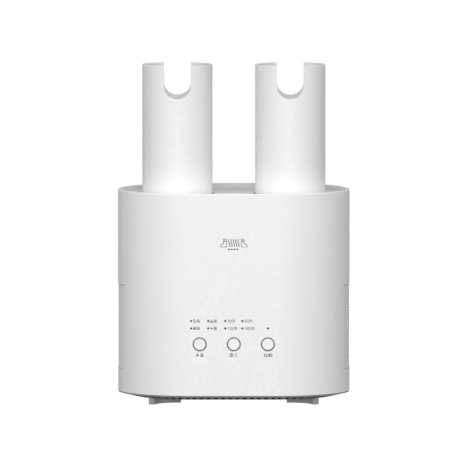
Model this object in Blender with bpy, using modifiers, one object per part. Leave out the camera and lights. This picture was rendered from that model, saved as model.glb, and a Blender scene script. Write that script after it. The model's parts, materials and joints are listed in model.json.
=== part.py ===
"""Warm-air boot dryer: an oval body, two push-down outlet tubes, and the blower inside.

Units are metres. X runs to the right, -Y is the front with the buttons, and Z is up.
The origin is on the surface that the feet stand on, under the middle of the body.
"""

import math

import bmesh
import bpy
from mathutils import Matrix, Vector

MM = 0.001
GAP = 0.3 * MM
MERGE = 0.01 * MM

# Body: an oval of two half circles joined by straight sides.
END_RADIUS = 70 * MM
END_X = 40 * MM
WALL = 2.4 * MM
SHELL_BOTTOM = 10.2 * MM
SHELL_TOP = 202.2 * MM
ARC_STEPS = 24
GRILLE_ARC_STEPS = 16
BOTTOM_CHAMFER = 0.6 * MM

# Well floor around the tubes.
DECK_TOP = SHELL_TOP - 4.5 * MM
DECK_THICKNESS = 2.4 * MM
DECK_BOTTOM = DECK_TOP - DECK_THICKNESS
LEDGE_WIDTH = 3 * MM
LEDGE_HEIGHT = 2 * MM

# Outlet tubes.
TUBE_X = 53.65 * MM
TUBE_RADIUS = 33.35 * MM
TUBE_TOP = 320.7 * MM
TUBE_BOTTOM = 172.7 * MM
TUBE_TRAVEL = 90 * MM
TUBE_EDGE = 0.7 * MM
NOTCH_RADIUS = 12.85 * MM
NOTCH_DEPTH = 31.3 * MM
NOTCH_STEPS = 20
ROUND_STEPS = 48
GRID_Z = 276 * MM
GRID_HEIGHT = 2 * MM
GRID_BAR_WIDTH = 1.6 * MM
GRID_BAR_PITCH = 10 * MM

# Ring around each tube, and the hole in the deck that holds it.
SEAL_WIDTH = 1.2 * MM
SEAL_FLANGE = 37.5 * MM
SEAL_BOTTOM = DECK_BOTTOM - GAP - 2 * MM
COLLAR_RADIUS = 36.2 * MM
SLEEVE_RADIUS = 38.6 * MM

# Base pan and feet.
PAN_FLOOR = 5.4 * MM
PAN_FLOOR_RADIUS = 54 * MM
PAN_LIP = 9.2 * MM
PAN_UPSTAND = 18 * MM
SLOT_WIDTH = 3.6 * MM
SLOT_PITCH = 6.8 * MM
SLOTS_PER_SIDE = 12
SLOTS_PER_END = 27
SLOT_INNER = 55.5 * MM
SLOT_OUTER = 65 * MM
FOOT_WIDTH = 6 * MM
FOOT_STEPS = 10
PAN_THICKNESS = 2.2 * MM
POST_PLACE = 40 * MM
POST_RADIUS = 4 * MM
BOSS_RADIUS = 5.5 * MM
BOSS_TOP = 10 * MM

# Side grilles.
GRILLE_HALF_WIDTH = 29 * MM
GRILLE_BOTTOM = 32 * MM
GRILLE_TOP = 112.2 * MM
GRILLE_RECESS = 0.4 * MM
GRILLE_THICKNESS = 2 * MM
LOUVRE_PITCH = 3.05 * MM
LOUVRE_SLOT = 0.7 * MM
LOUVRE_COUNT = 25

# Dust filters behind the grilles: near and far faces, and the window bars.
FILTER_NEAR_X = 99.3 * MM
FILTER_FAR_X = 102.3 * MM
FILTER_HALF_WIDTH = 23 * MM
FILTER_BOTTOM = 35 * MM
FILTER_TOP = 108 * MM
FILTER_BAR = 2 * MM
FILTER_ROWS = 5
FILTER_COLUMNS = 2

# Controls on the front.
CONTROL_PITCH = 32.3 * MM
BUTTON_Z = 59.4 * MM
BUTTON_HOLE = 6.85 * MM
BEZEL_WIDTH = 0.7 * MM
BEZEL_DEPTH = 2.4 * MM
BUTTON_TRAVEL = 0.8 * MM
BUTTON_EDGE = 0.4 * MM
CAP_DEPTH = 3 * MM
STEM_RADIUS = 2 * MM
STEM_PLAY = 0.5 * MM
SWITCH_SIZE = 6 * MM
SWITCH_HEIGHT = 3.5 * MM
LAMP_HOLE = 1.0 * MM
LAMP_RADIUS = 0.7 * MM
LAMP_FIRST_X = -40.4 * MM
LAMP_PITCH = 16.15 * MM
LAMP_ROWS = (81.6 * MM, 74.6 * MM)

# Blower, heater and duct, stacked on the base pan.
FAN_BOTTOM = 20 * MM
FAN_SIZE = 92 * MM
FAN_HEIGHT = 25 * MM
FAN_BORE = 43 * MM
ARM_HEIGHT = 3 * MM
MOTOR_RADIUS = 15 * MM
MOTOR_HEIGHT = 12 * MM
SHAFT_RADIUS = 1.5 * MM
SHAFT_BORE = 1.8 * MM
SHAFT_TOP = FAN_BOTTOM + 23 * MM
BLADE_COUNT = 7
HEATER_BOTTOM = FAN_BOTTOM + FAN_HEIGHT + GAP
HEATER_HEIGHT = 12 * MM
HEATER_OPENING = (76 * MM, 60 * MM)
FIN_COUNT = 14
FIN_THICKNESS = 1.2 * MM
PLENUM_BOTTOM = HEATER_BOTTOM + HEATER_HEIGHT + GAP
PLENUM_TOP = TUBE_BOTTOM - TUBE_TRAVEL - 5 * MM
PLENUM_RADIUS = 39 * MM
PLENUM_WALL = 2 * MM
PLENUM_MOUTH = 35 * MM
LEG_RADIUS = 4 * MM
SCREW_X = 74 * MM
SCREW_Y = 12 * MM

# Boards and the gland for the mains lead.
BOARD_Y = -57 * MM
POWER_BOARD_Y = 50 * MM
BOARD_THICKNESS = 1.6 * MM
INLET_Z = 30 * MM
INLET_RADIUS = 5 * MM
INLET_BORE = 3 * MM
INLET_DEPTH = 8 * MM


for old in list(bpy.data.objects):
    bpy.data.objects.remove(old, do_unlink=True)


def collection(name):
    made = bpy.data.collections.new(name)
    bpy.context.scene.collection.children.link(made)
    return made


PARTS = collection("boot_dryer")
CUTTERS = collection("cutters")


def material(name, colour, roughness, metallic=0.0):
    """A plain Principled finish for one piece."""
    made = bpy.data.materials.new(name)
    made.use_nodes = True
    shader = made.node_tree.nodes["Principled BSDF"]
    shader.inputs["Base Color"].default_value = (*colour, 1.0)
    shader.inputs["Roughness"].default_value = roughness
    shader.inputs["Metallic"].default_value = metallic
    return made


FINISHES = {
    "body": ((0.83, 0.83, 0.83), 0.45, 0.0),
    "tube": ((0.83, 0.83, 0.83), 0.42, 0.0),
    "ring": ((0.32, 0.32, 0.32), 0.5, 0.0),
    "rubber": ((0.16, 0.16, 0.16), 0.8, 0.0),
    "base": ((0.16, 0.16, 0.16), 0.6, 0.0),
    "lamp": ((0.03, 0.03, 0.03), 0.2, 0.0),
    "duct": ((0.6, 0.6, 0.6), 0.5, 0.0),
    "black": ((0.03, 0.03, 0.03), 0.5, 0.0),
    "board": ((0.02, 0.2, 0.06), 0.5, 0.0),
    "metal": ((0.7, 0.7, 0.72), 0.3, 1.0),
}


def add(name, mesh, finish):
    """Link a mesh as a named piece with its own material."""
    piece = bpy.data.objects.new(name, mesh)
    mesh.materials.append(material(name, *FINISHES[finish]))
    PARTS.objects.link(piece)
    return piece


def guide(name, mesh):
    """Link a mesh as a cutter, which isn't part of the object."""
    piece = bpy.data.objects.new(name, mesh)
    piece.hide_render = True
    piece.display_type = "WIRE"
    CUTTERS.objects.link(piece)
    return piece


def to_mesh(form, name):
    bmesh.ops.recalc_face_normals(form, faces=form.faces)
    mesh = bpy.data.meshes.new(name)
    form.to_mesh(mesh)
    form.free()
    return mesh


def boolean(piece, other, operation="DIFFERENCE"):
    step = piece.modifiers.new(operation.lower(), "BOOLEAN")
    step.operation = operation
    step.object = other
    return step


def smooth(piece, angle=35):
    piece.data.shade_smooth()
    piece.data.set_sharp_from_angle(angle=math.radians(angle))


# ---------------------------------------------------------------- basic forms


def box_form(form, low, high, turn=None):
    """Add a box to form between two corners, then apply turn."""
    low, high = Vector(low), Vector(high)
    place = Matrix.Translation((low + high) / 2) @ Matrix.Diagonal((*(high - low), 1))
    if turn is not None:
        place = turn @ place
    bmesh.ops.create_cube(form, size=1, matrix=place)


def rod_form(form, start, end, radius, steps=24):
    """Add a round rod to form between two points."""
    start, end = Vector(start), Vector(end)
    along = end - start
    place = Matrix.Translation((start + end) / 2) @ along.to_track_quat("Z", "Y").to_matrix().to_4x4()
    bmesh.ops.create_cone(
        form, cap_ends=True, segments=steps, radius1=radius, radius2=radius, depth=along.length, matrix=place
    )


def oval(radius, z, half_flat=END_X, arc_steps=ARC_STEPS):
    """Plan outline at height z: two half circles joined by straight sides."""
    points = []
    for side in (1, -1):
        for step in range(arc_steps + 1):
            angle = math.radians(-90 + 180 * step / arc_steps)
            x = side * (half_flat + radius * math.cos(angle))
            y = side * radius * math.sin(angle)
            points.append((x, y, z))
    return points


def loft(form, rings, closed):
    """Join equal rings of points, and close the ends with caps or with each other."""
    rows = [[form.verts.new(point) for point in ring] for ring in rings]
    pairs = list(zip(rows, rows[1:]))
    if closed:
        pairs.append((rows[-1], rows[0]))
    for low, high in pairs:
        for step in range(len(low)):
            after = (step + 1) % len(low)
            form.faces.new((low[step], low[after], high[after], high[step]))
    if not closed:
        form.faces.new(rows[0])
        form.faces.new(rows[-1])


def oval_loft(name, profile, closed, half_flat=END_X, arc_steps=ARC_STEPS):
    """Carry a (radius, height) profile round the oval."""
    form = bmesh.new()
    loft(form, [oval(radius, z, half_flat, arc_steps) for radius, z in profile], closed)
    return to_mesh(form, name)


def turned(name, profile, finish, place=(0, 0, 0), steps=ROUND_STEPS):
    """Turn a closed (radius, height) profile about the Z axis through place."""
    form = bmesh.new()
    corners = [form.verts.new((radius, 0, z)) for radius, z in profile]
    for step, corner in enumerate(corners):
        form.edges.new((corner, corners[(step + 1) % len(corners)]))
    mesh = bpy.data.meshes.new(name)
    form.to_mesh(mesh)
    form.free()
    piece = add(name, mesh, finish)
    piece.location = place
    turn = piece.modifiers.new("turn", "SCREW")
    turn.steps = steps
    turn.render_steps = steps
    turn.use_merge_vertices = True
    turn.merge_threshold = MERGE
    turn.use_smooth_shade = True
    return piece


def ring_profile(outer, inner, low, high):
    """Square section, down the outer side and up the inner side."""
    return [(outer, high), (outer, low), (inner, low), (inner, high)]


def edged_profile(outer, inner, low, high, edge):
    """Like ring_profile, with the upper corners cut at 45 degrees."""
    return [
        (outer - edge, high),
        (outer, high - edge),
        (outer, low),
        (inner, low),
        (inner, high - edge),
        (inner + edge, high),
    ]


def box(name, low, high, finish):
    form = bmesh.new()
    box_form(form, low, high)
    return add(name, to_mesh(form, name), finish)


def rod(name, start, end, radius, finish, steps=24):
    form = bmesh.new()
    rod_form(form, start, end, radius, steps)
    piece = add(name, to_mesh(form, name), finish)
    smooth(piece)
    return piece


# ---------------------------------------------------------------- casing


def button_places():
    """Names and X places of the three buttons."""
    return (("mode", -CONTROL_PITCH), ("timer", 0), ("power", CONTROL_PITCH))


def lamp_places():
    """Names and (x, z) places of the nine lamps."""
    places = []
    for group, first in (("mode", 0), ("timer", 2)):
        for number in range(4):
            x = LAMP_FIRST_X + LAMP_PITCH * (first + number % 2)
            places.append((f"{group}_lamp_{number + 1}", x, LAMP_ROWS[number // 2]))
    places.append(("power_lamp", CONTROL_PITCH, LAMP_ROWS[1]))
    return places


def rim_profile():
    """Half-round rim at the top of the casing wall."""
    middle = END_RADIUS - WALL / 2
    centre_z = SHELL_TOP - WALL / 2
    points = []
    for step in range(7):
        angle = math.pi * step / 6
        points.append((middle + WALL / 2 * math.cos(angle), centre_z + WALL / 2 * math.sin(angle)))
    return points


def outer_shell():
    """Casing wall with a ledge for the deck, and holes for the buttons, lamps, grilles and gland."""
    inner = END_RADIUS - WALL
    ledge = DECK_BOTTOM - GAP
    profile = [
        (inner, SHELL_BOTTOM),
        (END_RADIUS - BOTTOM_CHAMFER, SHELL_BOTTOM),
        (END_RADIUS, SHELL_BOTTOM + BOTTOM_CHAMFER),
        *rim_profile(),
        (inner, ledge),
        (inner - LEDGE_WIDTH, ledge),
        (inner - LEDGE_WIDTH, ledge - LEDGE_HEIGHT),
        (inner, ledge - LEDGE_HEIGHT - LEDGE_WIDTH),
    ]
    shell = add("outer_shell", oval_loft("outer_shell", profile, closed=True), "body")
    holes = bmesh.new()
    front, behind = -END_RADIUS - 5 * MM, -END_RADIUS + 8 * MM
    for _, x in button_places():
        rod_form(holes, (x, front, BUTTON_Z), (x, behind, BUTTON_Z), BUTTON_HOLE, 28)
    for _, x, z in lamp_places():
        rod_form(holes, (x, front, z), (x, behind, z), LAMP_HOLE, 12)
    for side in (-1, 1):
        reach = END_X + END_RADIUS
        ends = sorted((side * (reach - 20 * MM), side * (reach + 5 * MM)))
        low = (ends[0], -GRILLE_HALF_WIDTH, GRILLE_BOTTOM)
        box_form(holes, low, (ends[1], GRILLE_HALF_WIDTH, GRILLE_TOP))
    rod_form(holes, (0, -behind, INLET_Z), (0, -front, INLET_Z), INLET_RADIUS + GAP, 24)
    boolean(shell, guide("shell_holes", to_mesh(holes, "shell_holes")))


def top_deck():
    """Floor of the well: a plate with two round holes, lying on the casing's ledge."""
    outer = END_RADIUS - WALL - GAP
    profile = [(outer, DECK_TOP), (outer, DECK_BOTTOM)]
    deck = add("top_deck", oval_loft("top_deck", profile, closed=False), "body")
    holes = bmesh.new()
    radius = TUBE_RADIUS + GAP + SEAL_WIDTH + GAP
    for side in (-1, 1):
        x = side * TUBE_X
        rod_form(holes, (x, 0, DECK_BOTTOM - MM), (x, 0, DECK_TOP + MM), radius, ROUND_STEPS)
    boolean(deck, guide("deck_holes", to_mesh(holes, "deck_holes")))


def side_grille(name, side):
    """Louvred panel that follows the casing's round end, a little below its surface."""
    outer = END_RADIUS - GRILLE_RECESS
    inner = outer - GRILLE_THICKNESS
    low, high = GRILLE_BOTTOM + GAP, GRILLE_TOP - GAP
    profile = [(inner, low), (outer, low), (outer, high), (inner, high)]
    panel = oval_loft(name, profile, closed=True, arc_steps=GRILLE_ARC_STEPS)
    grille = add(name, panel, "body")
    window = bmesh.new()
    width = GRILLE_HALF_WIDTH - GAP
    reach = sorted((side * END_X, side * (END_X + END_RADIUS + 5 * MM)))
    box_form(window, (reach[0], -width, low - MM), (reach[1], width, high + MM))
    boolean(grille, guide(f"{name}_window", to_mesh(window, f"{name}_window")), "INTERSECT")
    slots = bmesh.new()
    middle = (low + high) / 2
    half = width - 2.5 * MM
    for number in range(LOUVRE_COUNT):
        z = middle + (number - (LOUVRE_COUNT - 1) / 2) * LOUVRE_PITCH
        box_form(slots, (reach[0], -half, z - LOUVRE_SLOT / 2), (reach[1], half, z + LOUVRE_SLOT / 2))
    boolean(grille, guide(f"{name}_slots", to_mesh(slots, f"{name}_slots")))


def dust_filter(name, side):
    """Flat frame with windows, standing just inside the grille."""
    low_x, high_x = sorted((side * FILTER_NEAR_X, side * FILTER_FAR_X))
    half, bar = FILTER_HALF_WIDTH, FILTER_BAR
    frame = box(name, (low_x, -half, FILTER_BOTTOM), (high_x, half, FILTER_TOP), "duct")
    windows = bmesh.new()
    step_z = (FILTER_TOP - FILTER_BOTTOM - bar) / FILTER_ROWS
    step_y = (2 * half - bar) / FILTER_COLUMNS
    for row in range(FILTER_ROWS):
        for column in range(FILTER_COLUMNS):
            y = -half + bar + column * step_y
            z = FILTER_BOTTOM + bar + row * step_z
            box_form(windows, (low_x - MM, y, z), (high_x + MM, y + step_y - bar, z + step_z - bar))
    boolean(frame, guide(f"{name}_windows", to_mesh(windows, f"{name}_windows")))


# ---------------------------------------------------------------- base


def slot_turns():
    """Where each slot of the skirt lies: a turn about Z, then a shift along X."""
    turns = []
    for side in (-1, 1):
        for number in range(SLOTS_PER_SIDE):
            shift = (number - (SLOTS_PER_SIDE - 1) / 2) * SLOT_PITCH
            turns.append((math.radians(90 * side), shift))
        for number in range(SLOTS_PER_END):
            angle = (number + 0.5) / SLOTS_PER_END * 180 - 90
            turns.append((math.radians(angle + (0 if side > 0 else 180)), side * END_X))
    return turns


def base_pan():
    """Floor of the casing: flat middle, sloped and slotted skirt, and an upstand."""
    inside = END_RADIUS - WALL - GAP
    profile = [
        (PAN_FLOOR_RADIUS, PAN_FLOOR),
        (END_RADIUS - 0.3 * MM, PAN_LIP),
        (END_RADIUS - 0.3 * MM, SHELL_BOTTOM - GAP),
        (inside, SHELL_BOTTOM - GAP),
        (inside, PAN_UPSTAND),
        (inside - 1.6 * MM, PAN_UPSTAND),
        (inside - 1.6 * MM, PAN_LIP + 2 * MM),
        (PAN_FLOOR_RADIUS, PAN_FLOOR + PAN_THICKNESS),
    ]
    pan = add("base_pan", oval_loft("base_pan", profile, False, arc_steps=SLOTS_PER_END), "base")
    slots = bmesh.new()
    for angle, shift in slot_turns():
        turn = Matrix.Translation((shift, 0, 0)) @ Matrix.Rotation(angle, 4, "Z")
        low = (SLOT_INNER, -SLOT_WIDTH / 2, 0)
        box_form(slots, low, (SLOT_OUTER, SLOT_WIDTH / 2, 15 * MM), turn)
    boolean(pan, guide("pan_slots", to_mesh(slots, "pan_slots")))
    posts = bmesh.new()
    sunk = PAN_FLOOR + PAN_THICKNESS / 2
    for x in (-POST_PLACE, POST_PLACE):
        for y in (-POST_PLACE, POST_PLACE):
            rod_form(posts, (x, y, sunk), (x, y, FAN_BOTTOM - GAP), POST_RADIUS, 16)
    for x, y in screw_places():
        rod_form(posts, (x, y, sunk), (x, y, BOSS_TOP), BOSS_RADIUS, 16)
    boolean(pan, guide("pan_posts", to_mesh(posts, "pan_posts")), "UNION")
    holes = bmesh.new()
    for x, y in screw_places():
        rod_form(holes, (x, y, 7 * MM), (x, y, 12 * MM), 1.7 * MM, 16)
    boolean(pan, guide("pan_holes", to_mesh(holes, "pan_holes")))
    sinks = bmesh.new()
    for x, y in screw_places():
        rod_form(sinks, (x, y, 0), (x, y, 8 * MM), 3.4 * MM, 16)
    boolean(pan, guide("pan_sinks", to_mesh(sinks, "pan_sinks")))


def screw_places():
    return [(x, y) for x in (-SCREW_X, SCREW_X) for y in (-SCREW_Y, SCREW_Y)]


def base_screws():
    """Pan-head screws from below into the duct's legs."""
    for number, (x, y) in enumerate(screw_places()):
        profile = [
            (1.3 * MM, 22 * MM),
            (1.3 * MM, 7.7 * MM),
            (3.0 * MM, 7.7 * MM),
            (3.0 * MM, 6.4 * MM),
            (2.4 * MM, 5.8 * MM),
            (0, 5.8 * MM),
            (0, 22 * MM),
        ]
        turned_solid(f"base_screw_{number + 1}", profile, "metal", (x, y, 0), 12)


def turned_solid(name, profile, finish, place, steps):
    """Turn a profile whose last two points lie on the axis, so the middle is solid."""
    form = bmesh.new()
    corners = [form.verts.new((radius, 0, z)) for radius, z in [profile[-1], *profile[:-1]]]
    for first, second in zip(corners, corners[1:]):
        form.edges.new((first, second))
    bmesh.ops.spin(
        form,
        geom=list(form.verts) + list(form.edges),
        axis=(0, 0, 1),
        cent=(0, 0, 0),
        angle=math.tau,
        steps=steps,
        use_merge=True,
    )
    bmesh.ops.remove_doubles(form, verts=form.verts, dist=MERGE)
    piece = add(name, to_mesh(form, name), finish)
    piece.location = place
    smooth(piece)
    return piece


def foot_path():
    """Middle line of the front left foot rib: it curves in from the edge, then runs along X."""
    middle = FOOT_WIDTH / 2
    outer_end = Vector((-78 * MM, -48 * MM + middle))
    bend = Vector((-73.5 * MM, -26.5 * MM + middle))
    inner_end = Vector((-50.3 * MM, -26 * MM + middle))
    points = []
    for step in range(FOOT_STEPS + 1):
        t = step / FOOT_STEPS
        points.append((1 - t) ** 2 * outer_end + 2 * t * (1 - t) * bend + t**2 * inner_end)
    return points


def foot(name, x_side, y_side):
    """Curved rubber rib whose top follows the underside of the pan."""
    path = foot_path()
    left, right = [], []
    for number, point in enumerate(path):
        before = path[max(number - 1, 0)]
        after = path[min(number + 1, len(path) - 1)]
        along = (after - before).normalized()
        across = Vector((-along.y, along.x)) * FOOT_WIDTH / 2
        left.append(point + across)
        right.append(point - across)
    outline = left + right[::-1]
    form = bmesh.new()
    rings = []
    for z in (0, SHELL_BOTTOM):
        rings.append([(-x_side * point.x, -y_side * point.y, z) for point in outline])
    loft(form, rings, closed=False)
    piece = add(name, to_mesh(form, name), "rubber")
    boolean(piece, bpy.data.objects["pan_envelope"])


def pan_envelope():
    """Solid of the pan's underside, lowered by the gap, that trims the feet."""
    slope = (PAN_LIP - PAN_FLOOR) / (END_RADIUS - PAN_FLOOR_RADIUS)
    far = END_RADIUS + 20 * MM
    profile = [
        (PAN_FLOOR_RADIUS, PAN_FLOOR - GAP),
        (far, PAN_FLOOR - GAP + slope * (far - PAN_FLOOR_RADIUS)),
        (far, 40 * MM),
    ]
    guide("pan_envelope", oval_loft("pan_envelope", profile, closed=False))


# ---------------------------------------------------------------- tubes


def notch_cutter(name, x):
    """U shape that runs through the front and the back of a tube's top."""
    centre_z = TUBE_TOP - NOTCH_DEPTH + NOTCH_RADIUS
    outline = [(-NOTCH_RADIUS, TUBE_TOP + 10 * MM)]
    for step in range(NOTCH_STEPS + 1):
        angle = math.pi + math.pi * step / NOTCH_STEPS
        across = NOTCH_RADIUS * math.cos(angle)
        outline.append((across, centre_z + NOTCH_RADIUS * math.sin(angle)))
    outline.append((NOTCH_RADIUS, TUBE_TOP + 10 * MM))
    form = bmesh.new()
    reach = TUBE_RADIUS + 10 * MM
    loft(form, [[(x + across, y, z) for across, z in outline] for y in (-reach, reach)], closed=False)
    return guide(name, to_mesh(form, name))


def tube(name, x):
    """Outlet tube, open at both ends, with its notch."""
    inner = TUBE_RADIUS - WALL
    profile = edged_profile(TUBE_RADIUS, inner, TUBE_BOTTOM, TUBE_TOP, TUBE_EDGE)
    piece = turned(name, profile, "tube", (x, 0, 0))
    boolean(piece, notch_cutter(f"{name}_notch", x))


def tube_stop(name, x):
    """Collar on the tube's lower end, which meets the seal when the tube is up."""
    profile = ring_profile(COLLAR_RADIUS, TUBE_RADIUS + GAP, TUBE_BOTTOM, SEAL_BOTTOM - GAP)
    turned(name, profile, "duct", (x, 0, 0), 40)


def outlet_grid(name, x):
    """Finger guard: a thin ring with bars across it."""
    outer = TUBE_RADIUS - WALL - GAP
    inner = outer - 2 * MM
    top = GRID_Z + GRID_HEIGHT
    piece = turned(name, ring_profile(outer, inner, GRID_Z, top), "duct", (x, 0, 0), 28)
    bars = bmesh.new()
    inset = 0.2 * MM
    for number in range(-2, 3):
        y = number * GRID_BAR_PITCH
        reach = math.sqrt((inner + MM) ** 2 - y**2)
        low = (x - reach, y - GRID_BAR_WIDTH / 2, GRID_Z + inset)
        box_form(bars, low, (x + reach, y + GRID_BAR_WIDTH / 2, top - inset))
    boolean(piece, guide(f"{name}_bars", to_mesh(bars, f"{name}_bars")), "UNION")


def tube_seal(name, x):
    """Ring in the deck hole around the tube, with a flange below the deck."""
    outer = TUBE_RADIUS + GAP + SEAL_WIDTH
    inner = TUBE_RADIUS + GAP
    shoulder = DECK_BOTTOM - GAP
    profile = [
        (outer, DECK_TOP),
        (outer, shoulder),
        (SEAL_FLANGE, shoulder),
        (SEAL_FLANGE, SEAL_BOTTOM),
        (inner, SEAL_BOTTOM),
        (inner, DECK_TOP),
    ]
    turned(name, profile, "rubber", (x, 0, 0), 40)


def sleeve(name, x):
    """Guide duct between the plenum and the seal, in which the collar slides."""
    profile = ring_profile(SLEEVE_RADIUS, SLEEVE_RADIUS - 2 * MM, PLENUM_TOP + GAP, SEAL_BOTTOM - GAP)
    turned(name, profile, "duct", (x, 0, 0), 36)


# ---------------------------------------------------------------- blower and heater


def fan_housing():
    """Square frame with a round bore, and four arms that hold the motor's plate."""
    half = FAN_SIZE / 2
    top = FAN_BOTTOM + FAN_HEIGHT
    piece = box("fan_housing", (-half, -half, FAN_BOTTOM), (half, half, top), "black")
    bore = bmesh.new()
    rod_form(bore, (0, 0, FAN_BOTTOM - MM), (0, 0, top + MM), FAN_BORE, 40)
    boolean(piece, guide("fan_bore", to_mesh(bore, "fan_bore")))
    arms = bmesh.new()
    rod_form(arms, (0, 0, FAN_BOTTOM), (0, 0, FAN_BOTTOM + ARM_HEIGHT), MOTOR_RADIUS + 2 * MM, 24)
    boolean(piece, guide("fan_plate", to_mesh(arms, "fan_plate")), "UNION")
    spokes = bmesh.new()
    inset = 0.2 * MM
    for number in range(4):
        turn = Matrix.Rotation(math.radians(45 + 90 * number), 4, "Z")
        low = (MOTOR_RADIUS, -2 * MM, FAN_BOTTOM + inset)
        box_form(spokes, low, (FAN_BORE + 2 * MM, 2 * MM, FAN_BOTTOM + ARM_HEIGHT - inset), turn)
    boolean(piece, guide("fan_spokes", to_mesh(spokes, "fan_spokes")), "UNION")


def fan_motor():
    """Fixed winding block inside the hub, with a bore for the shaft."""
    low = FAN_BOTTOM + ARM_HEIGHT + GAP
    profile = ring_profile(MOTOR_RADIUS, SHAFT_BORE, low, low + MOTOR_HEIGHT)
    turned("fan_motor", profile, "metal", steps=24)


def fan_shaft():
    low = FAN_BOTTOM + ARM_HEIGHT + GAP
    rod("fan_shaft", (0, 0, low), (0, 0, SHAFT_TOP), SHAFT_RADIUS, "metal", 16)


def fan_impeller():
    """Cup-shaped hub with twisted blades, turning about the shaft's axis."""
    hub_inner = MOTOR_RADIUS + 2 * MM
    hub_outer = hub_inner + 2 * MM
    low, high = FAN_BOTTOM + ARM_HEIGHT + 1.5 * MM, SHAFT_TOP
    ceiling = high - 2.5 * MM
    profile = [
        (hub_outer, high),
        (hub_outer, low),
        (hub_inner, low),
        (hub_inner, ceiling),
        (SHAFT_BORE, ceiling),
        (SHAFT_BORE, high),
    ]
    piece = turned("fan_impeller", profile, "black", steps=28)
    blades = bmesh.new()
    root, tip = hub_outer - 1 * MM, FAN_BORE - 1.5 * MM
    chord, thickness = 21 * MM, 1.6 * MM
    middle = (low + high) / 2
    for number in range(BLADE_COUNT):
        spin = Matrix.Rotation(math.tau * number / BLADE_COUNT, 4, "Z")
        rings = []
        for radius, pitch in ((root, 46), (tip, 30)):
            lean = Matrix.Rotation(math.radians(pitch), 4, "X")
            ring = []
            for y, z in ((-1, -1), (1, -1), (1, 1), (-1, 1)):
                corner = lean @ Vector((0, y * chord / 2, z * thickness / 2))
                ring.append(spin @ (corner + Vector((radius, 0, middle))))
            rings.append(ring)
        loft(blades, rings, closed=False)
    boolean(piece, guide("fan_blades", to_mesh(blades, "fan_blades")), "UNION")


def heater_frame():
    """Flat insulating frame that holds the heater element."""
    half = FAN_SIZE / 2
    low, high = HEATER_BOTTOM, HEATER_BOTTOM + HEATER_HEIGHT
    piece = box("heater_frame", (-half, -half, low), (half, half, high), "duct")
    x, y = HEATER_OPENING[0] / 2, HEATER_OPENING[1] / 2
    opening = bmesh.new()
    box_form(opening, (-x, -y, low - MM), (x, y, high + MM))
    boolean(piece, guide("heater_opening", to_mesh(opening, "heater_opening")))


def ptc_heater():
    """Finned aluminium block with its ceramic core along the middle."""
    x, y = HEATER_OPENING[0] / 2 - GAP, HEATER_OPENING[1] / 2 - GAP
    low, high = HEATER_BOTTOM + 1 * MM, HEATER_BOTTOM + 10.5 * MM
    piece = box("ptc_heater", (-x, -y, low), (x, y, high), "metal")
    fins = bmesh.new()
    step = (2 * x - FIN_THICKNESS) / FIN_COUNT
    for side in (-1, 1):
        near, far = sorted((side * 4 * MM, side * (y - 3 * MM)))
        for number in range(FIN_COUNT):
            start = -x + FIN_THICKNESS + number * step
            box_form(fins, (start, near, low - MM), (start + step - FIN_THICKNESS, far, high + MM))
    boolean(piece, guide("heater_fins", to_mesh(fins, "heater_fins")))


def thermal_fuse():
    """Cut-out lying on the heater's core."""
    radius, half = 2 * MM, 7 * MM
    z = HEATER_BOTTOM + 10.5 * MM + GAP + radius
    rod("thermal_fuse", (-half, 0, z), (half, 0, z), radius, "metal", 16)


def air_plenum():
    """Hollow duct from the heater to both sleeves, on four screw legs."""
    low, high, wall = PLENUM_BOTTOM, PLENUM_TOP, PLENUM_WALL
    profile = [(PLENUM_RADIUS, low), (PLENUM_RADIUS, high)]
    piece = add("air_plenum", oval_loft("air_plenum", profile, False, TUBE_X), "duct")
    legs = bmesh.new()
    for x, y in screw_places():
        rod_form(legs, (x, y, BOSS_TOP + GAP), (x, y, low + wall / 2), LEG_RADIUS, 16)
    boolean(piece, guide("plenum_legs", to_mesh(legs, "plenum_legs")), "UNION")
    inside = [(PLENUM_RADIUS - wall, low + wall), (PLENUM_RADIUS - wall, high - wall)]
    cavity = guide("plenum_cavity", oval_loft("plenum_cavity", inside, False, TUBE_X))
    boolean(piece, cavity)
    mouths = bmesh.new()
    x, y = HEATER_OPENING[0] / 2, HEATER_OPENING[1] / 2
    box_form(mouths, (-x, -y, low - MM), (x, y, low + wall + MM))
    for side in (-1, 1):
        x = side * TUBE_X
        rod_form(mouths, (x, 0, high - wall - MM), (x, 0, high + MM), PLENUM_MOUTH, 32)
    for x, y in screw_places():
        rod_form(mouths, (x, y, 5 * MM), (x, y, 24 * MM), 1.6 * MM, 12)
    boolean(piece, guide("plenum_mouths", to_mesh(mouths, "plenum_mouths")))


# ---------------------------------------------------------------- controls and boards


def button(name, x):
    """Round cap with a stem that runs back into its switch; the origin is at its face."""
    cap = BUTTON_HOLE - GAP - BEZEL_WIDTH - GAP
    stem_end = END_RADIUS + BOARD_Y - SWITCH_HEIGHT - STEM_PLAY
    profile = [
        (STEM_RADIUS, stem_end),
        (STEM_RADIUS, CAP_DEPTH),
        (cap, CAP_DEPTH),
        (cap, BUTTON_EDGE),
        (cap - BUTTON_EDGE, 0),
        (0, 0),
        (0, stem_end),
    ]
    piece = turned_solid(name, profile, "body", (0, 0, 0), 24)
    piece.rotation_euler = (math.radians(-90), 0, 0)
    piece.location = (x, -END_RADIUS, BUTTON_Z)


def bezel(name, x):
    """Thin grey ring between the button and the casing."""
    outer = BUTTON_HOLE - GAP
    piece = turned(name, ring_profile(outer, outer - BEZEL_WIDTH, 0, BEZEL_DEPTH), "ring", steps=28)
    piece.rotation_euler = (math.radians(-90), 0, 0)
    piece.location = (x, -END_RADIUS, BUTTON_Z)


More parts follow.
